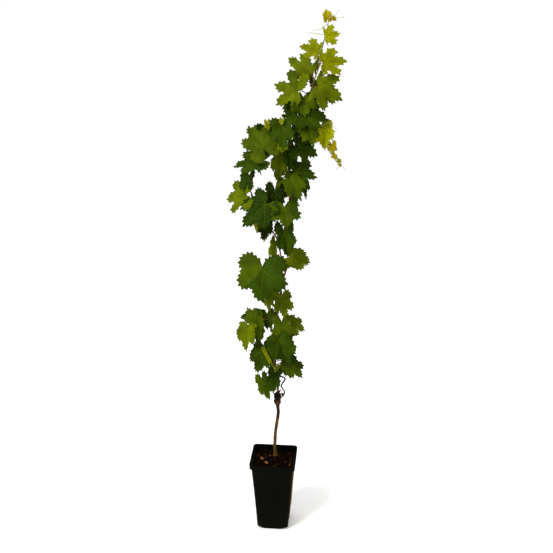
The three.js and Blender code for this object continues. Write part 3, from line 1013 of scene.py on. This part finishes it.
def grow_side_leaves(foliage):
    """A leaf at each joint of the shoots, on the far side of them and turned edge-on to the front."""
    dice = random.Random(12)
    for name in LIMBS[1:-1]:
        curve = limb_curves[name]
        limb_length = path_length(curve)
        for number in range(int(limb_length / NODE_SPACING)):
            joint = spread(curve, (number + 0.5) * NODE_SPACING / limb_length)
            if joint.z > BARE_TIP or any(low < joint.z < high for low, high in BARE_LEVELS):
                continue
            young = joint.z > TIP_LEVEL
            length = dice.uniform(46, 64) * (0.6 if young else 1) * MM
            tint = dice.choice(("fresh", "light") if young else ("light", "mid", "mid", "dark"))
            width = length * dice.uniform(0.95, 1.15)
            leaf = Leaf(dice, length, width, cut=0.9, fold=0.2, droop=0.2, teeth=SOME_TEETH)
            swing = dice.choice((-1, 1)) * dice.uniform(72, 108)
            place = joint + Vector((dice.uniform(-6, 6), dice.uniform(16, 36), dice.uniform(0, 14))) * MM
            foliage.add(leaf, place, leaf_turn(dice.uniform(-25, 25), dice.uniform(5, 30), swing), tint)


def make_leaves():
    """The leaves tier by tier, the side and small leaves, and the stalks of them all."""
    stalks = bmesh.new()
    seed = 100
    for name, sprays in SPRAYS.items():
        foliage = Foliage(name, stalks)
        nodes = [f"{name}_{number + 1}" for number in range(len(sprays))]
        for node, spray in zip(nodes, sprays):
            seed += 1
            foliage.add_main(node, seed, *spray)
        foliage.finish(nodes)
    foliage = Foliage("side_leaves", stalks)
    grow_side_leaves(foliage)
    foliage.finish([])
    foliage = Foliage("small_leaves", stalks)
    for number, small in enumerate(SMALL_LEAVES):
        limb, share, offset, length, width, hang, nod, swing, tint = small
        leaf = Leaf(random.Random(number), length * MM, width * MM, cut=0.8, fold=0.3, droop=0.25,
                    teeth=FEW_TEETH)
        foliage.add(leaf, on_limb(limb, share, offset), leaf_turn(hang, nod, swing), tint)
    foliage.finish([])
    stalk_skin = blotched_material("leaf_stalk", [(104, 48, 34), (104, 92, 34)], 0.5, 0.15, 24,
                                   0.1, 400, 0.0003)
    finish_piece(new_object("leaf_stalks", stalks, [stalk_skin]), "shoot_bark")


# ---- pot, compost and label -----------------------------------------------------------------

_, pot_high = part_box("pot")
soil_low, soil_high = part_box("soil")
POT_HEIGHT = pot_high.z
RIM_HALF = pot_high.x
RIM_DEPTH = 14 * MM
BODY_TOP_HALF = 63.5 * MM
BODY_BASE_HALF = 48 * MM
WALL = 1.8 * MM
FOOT_HEIGHT = 8 * MM
FOOT_HALF = 45 * MM
FOOT_CORNER = 24 * MM
CORNER = 10 * MM
CORNER_STEPS = 8
SQUARE_SIDES = 4 * (CORNER_STEPS + 1)


def square_place(number, half, radius):
    """Place number so many round a square with rounded corners."""
    corner = number // (CORNER_STEPS + 1) % 4
    angle = (corner + number % (CORNER_STEPS + 1) / CORNER_STEPS) * math.pi / 2
    middle = corner * math.pi / 2 + math.pi / 4
    inset = (half - radius) * math.sqrt(2)
    return Vector((inset * math.cos(middle) + radius * math.cos(angle),
                   inset * math.sin(middle) + radius * math.sin(angle), 0))


def square_form(rings):
    """A closed form through rounded squares, each (half width, corner radius, height)."""
    bm = bmesh.new()
    bmesh.ops.create_circle(bm, cap_ends=True, segments=SQUARE_SIDES, radius=1)
    edges = [edge for edge in bm.edges if edge.is_boundary]
    for _ in rings[1:]:
        ring, edges = extrude_rim(bm, edges)
        bmesh.ops.translate(bm, vec=UP, verts=ring)
    bmesh.ops.contextual_create(bm, geom=edges)
    for vert in bm.verts:
        half, radius, height = rings[round(vert.co.z)]
        number = round(math.atan2(vert.co.y, vert.co.x) / (2 * math.pi) * SQUARE_SIDES) % SQUARE_SIDES
        vert.co = square_place(number, half, min(radius, half)) + UP * height
    bmesh.ops.recalc_face_normals(bm, faces=bm.faces)
    return bm


def wall_half(height):
    """Half the pot's outer width at a height of its leaning walls."""
    slope = (BODY_TOP_HALF - BODY_BASE_HALF) / (POT_HEIGHT - RIM_DEPTH - FOOT_HEIGHT)
    return BODY_BASE_HALF + slope * (height - FOOT_HEIGHT)


def make_pot():
    """The pot's walls in one skin: up the outside, over the rim and down to the inner floor."""
    under_rim = POT_HEIGHT - RIM_DEPTH
    floor = FOOT_HEIGHT + WALL
    rings = [
        (FOOT_HALF - 1.6 * MM, FOOT_CORNER, 0),
        (FOOT_HALF - 0.8 * MM, FOOT_CORNER, 0.3 * MM),
        (FOOT_HALF - 0.4 * MM, FOOT_CORNER, 1 * MM),
        (FOOT_HALF, FOOT_CORNER, FOOT_HEIGHT - 0.4 * MM),
        (FOOT_HALF + 0.5 * MM, FOOT_CORNER, FOOT_HEIGHT),
        (BODY_BASE_HALF - 0.6 * MM, CORNER, FOOT_HEIGHT),
        (BODY_BASE_HALF, CORNER, FOOT_HEIGHT + 0.6 * MM),
        (wall_half(0.3 * POT_HEIGHT) - 0.4 * MM, CORNER, 0.3 * POT_HEIGHT),
        (wall_half(0.6 * POT_HEIGHT) - 0.5 * MM, CORNER, 0.6 * POT_HEIGHT),
        (BODY_TOP_HALF, CORNER, under_rim - 0.5 * MM),
        (BODY_TOP_HALF + 0.5 * MM, CORNER, under_rim),
        (RIM_HALF - 1.2 * MM, CORNER + 2 * MM, under_rim),
        (RIM_HALF - 0.5 * MM, CORNER + 2 * MM, under_rim + 0.6 * MM),
        (RIM_HALF - 0.6 * MM, CORNER + 2 * MM, POT_HEIGHT - 3.6 * MM),
        (RIM_HALF, CORNER + 2 * MM, POT_HEIGHT - 3 * MM),
        (RIM_HALF, CORNER + 2 * MM, POT_HEIGHT - 1 * MM),
        (RIM_HALF - 0.3 * MM, CORNER + 1.7 * MM, POT_HEIGHT - 0.3 * MM),
        (RIM_HALF - 1 * MM, CORNER + 1.2 * MM, POT_HEIGHT),
        (RIM_HALF - WALL + 0.4 * MM, CORNER + 0.4 * MM, POT_HEIGHT),
        (RIM_HALF - WALL, CORNER + 0.2 * MM, POT_HEIGHT - 0.5 * MM),
        (RIM_HALF - WALL - 0.6 * MM, CORNER, under_rim + WALL),
        (BODY_TOP_HALF - WALL, CORNER - WALL, under_rim + WALL - 0.5 * MM),
        (wall_half(floor) - WALL, CORNER - WALL, floor),
        (FOOT_HALF - WALL, FOOT_CORNER - WALL, floor - 0.4 * MM),
        (FOOT_HALF - WALL - 1 * MM, FOOT_CORNER - WALL, WALL),
    ]
    pot = square_form(rings)
    smooth(pot, math.radians(32))
    plastic = blotched_material("pot_plastic", [(5, 6, 2), (8, 9, 5)], 0.42, 0.015, 9, 0.3, 320, 0.0003)
    mould = noise_node(plastic.node_tree, 12, 2, (1, 1, 0.15))
    add_bump(plastic, mould.outputs["Fac"], 0.25, 0.004)
    finish_piece(new_object("pot_walls", pot, [plastic]), "pot_plastic", "pot")


CLEARANCE = WALL + 0.3 * MM   # from the pot's outer face to the compost
SOIL_HALF = wall_half(soil_high.z) - CLEARANCE
SOIL_RINGS = 22
LEVEL_REACH = 30 * MM         # round the trunk's foot, where the compost lies more level
CRUMBS = 700
CHIPS = 90
STRAWS = 10
LARGE_CHIPS = [(-41 * MM, 13 * MM), (-37 * MM, 8 * MM), (-21 * MM, -15 * MM)]


def soil_height(x, y):
    """Height of the compost's surface: level round the trunk's foot and lumpy away from it."""
    from_trunk = math.hypot(x - trunk_low.x, y - trunk_low.y) / LEVEL_REACH
    coarse = noise.noise(Vector((x * 60, y * 60, 3))) * 2.4
    fine = noise.noise(Vector((x * 190, y * 190, 7))) * 1.6
    return soil_high.z + (coarse + fine - 1.2) * MM * min(1, from_trunk)


def make_soil():
    """The block of compost, and the crumbs, bark chips and straws on it."""
    floor = FOOT_HEIGHT + CLEARANCE
    rings = [
        (FOOT_HALF - CLEARANCE - 1 * MM, FOOT_CORNER - CLEARANCE, soil_low.z),
        (FOOT_HALF - CLEARANCE, FOOT_CORNER - CLEARANCE, floor),
        (wall_half(floor) - CLEARANCE, CORNER - CLEARANCE, floor),
    ]
    for step in range(SOIL_RINGS):
        share = 1 - step / SOIL_RINGS
        rings.append((SOIL_HALF * share, (CORNER - CLEARANCE) * share, soil_high.z))
    soil = square_form(rings)
    for vert in soil.verts:
        if vert.co.z > soil_high.z - 1 * MM:
            vert.co.z = soil_height(vert.co.x, vert.co.y)
    smooth(soil)
    compost = blotched_material("compost", [(7, 4, 2), (14, 8, 5), (24, 14, 9)], 0.95, 0.0, 160,
                                1, 420, 0.003)
    finish_piece(new_object("compost_block", soil, [compost]), "compost", "soil")
    make_crumbs(compost)


def make_chip(dice, slot):
    """A thin chip of bark about 1 long, its edges worn."""
    chip = bmesh.new()
    bmesh.ops.create_cube(chip, size=1)
    bmesh.ops.scale(chip, vec=Vector((1, dice.uniform(0.3, 0.7), 0.22)), verts=chip.verts)
    bmesh.ops.bevel(chip, geom=chip.edges, offset=0.06, segments=1, profile=0.5, affect="EDGES",
                    material=-1)
    for vert in chip.verts:
        vert.co += any_way(dice) * 0.06
    for face in chip.faces:
        face.material_index = slot
    return chip


def make_crumbs(compost):
    """What lies on the compost: dark crumbs, old and fresh bark chips, and straws."""
    dice = random.Random(21)
    crumbs = bmesh.new()
    reach = SOIL_HALF - 3 * MM

    def scatter(part, low, high, spot=None):
        """Drops a bit on the compost, turned any way, of a size between two (mm)."""
        spot = spot or (dice.uniform(-1, 1) * reach, dice.uniform(-1, 1) * reach)
        size = dice.uniform(low, high) * MM
        spin = Matrix.Rotation(dice.uniform(0, math.pi), 4, "Z")
        turn = spin @ Matrix.Rotation(dice.uniform(-0.5, 0.5), 4, "X")
        place = Matrix.Translation((*spot, soil_height(*spot) + 0.15 * size))
        bmesh.ops.transform(part, matrix=place @ turn @ Matrix.Scale(size, 4), verts=part.verts)
        absorb(crumbs, part)

    for _ in range(CRUMBS):
        crumb = bmesh.new()
        bmesh.ops.create_icosphere(crumb, subdivisions=1, radius=0.5)
        for vert in crumb.verts:
            vert.co *= dice.uniform(0.6, 1.3)
        smooth(crumb)
        scatter(crumb, 1.5, 5)
    for number in range(CHIPS):
        scatter(make_chip(dice, 1 if number % 9 == 0 else 2), 3, 8)
    for spot in LARGE_CHIPS:
        scatter(make_chip(dice, 3), 8, 11, spot)
    for _ in range(STRAWS):
        start = Vector((-0.5, 0, 0))
        bend = Vector((0, dice.uniform(-0.2, 0.2), 0.1))
        straw = tapered(curve_points([start, bend, -start], 6), 0.022, 0.014, 5)
        for face in straw.faces:
            face.material_index = 4
        scatter(straw, 8, 18)
    chip = (0.0, 120, 0.6, 500, 0.0006)
    bits = [
        compost,
        blotched_material("bark_chip", [(96, 50, 20), (140, 80, 34)], 0.85, *chip),
        blotched_material("old_chip", [(26, 14, 8), (50, 29, 16)], 0.9, *chip),
        blotched_material("pale_chip", [(120, 70, 32), (146, 96, 50)], 0.85, *chip),
        blotched_material("straw", [(74, 50, 24), (100, 72, 36)], 0.8, 0.0, 90, 0.3, 500, 0.0003),
    ]
    finish_piece(new_object("compost_crumbs", crumbs, bits), "compost")


CARD_THICKNESS = 0.8 * MM
CARD_CORNER = 5 * MM
CARD_PROUD = 1.6 * MM         # how far the card's top stands off the pot
CARD_CURL = 1.2 * MM          # and its sides


def slice_card(card, count, length, axis):
    """Cuts a card across an axis into equal strips, so that it can bend."""
    for step in range(1, count):
        level = (step / count - 0.5) * length
        bmesh.ops.bisect_plane(card, geom=card.verts[:] + card.edges[:] + card.faces[:],
                               plane_co=axis * level, plane_no=axis)


def make_label():
    """A blank card on the pot's side, its corners rounded and its free edges a little proud."""
    places = [vert.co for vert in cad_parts["label"].data.vertices]
    low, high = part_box("label")
    inner = min(places, key=lambda place: (round(place.z, 4), place.x))
    upper = min((place for place in places if place.z > high.z - 2 * MM), key=lambda place: place.x)
    rise = Vector((upper.x - inner.x, 0, upper.z - inner.z))
    lean = math.atan2(rise.x, rise.z)
    card = bmesh.new()
    bmesh.ops.create_cube(card, size=1)
    width = high.y - low.y
    bmesh.ops.scale(card, vec=Vector((CARD_THICKNESS, width, rise.length)), verts=card.verts)
    corners = [edge for edge in card.edges if abs(edge.verts[0].co.x - edge.verts[1].co.x) > 0.1 * MM]
    bmesh.ops.bevel(card, geom=corners, offset=CARD_CORNER, segments=6, profile=0.5,
                    affect="EDGES", material=-1)
    slice_card(card, 14, rise.length, UP)
    slice_card(card, 8, width, Vector((0, 1, 0)))
    for vert in card.verts:
        share_up = vert.co.z / rise.length * 2
        share_across = vert.co.y / width * 2
        vert.co.x += CARD_PROUD * max(0, share_up) ** 3 + CARD_CURL * share_across ** 4
    middle = (low + high) / 2
    spot = Matrix.Translation(middle) @ Matrix.Rotation(lean, 4, "Y")
    bmesh.ops.transform(card, matrix=spot, verts=card.verts)
    smooth(card, math.radians(40))
    paper = blotched_material("label_card", [(148, 120, 26), (158, 129, 31)], 0.6, 0.1, 18,
                              0.2, 260, 0.0003)
    finish_piece(new_object("label_card", card, [paper]), "label_card", "label")


# ---- making it ------------------------------------------------------------------------------

make_camera()
make_light()
make_floor()
make_pot()
make_soil()
make_label()
make_trunk()
make_shoots()
make_tendrils()
make_leaves()
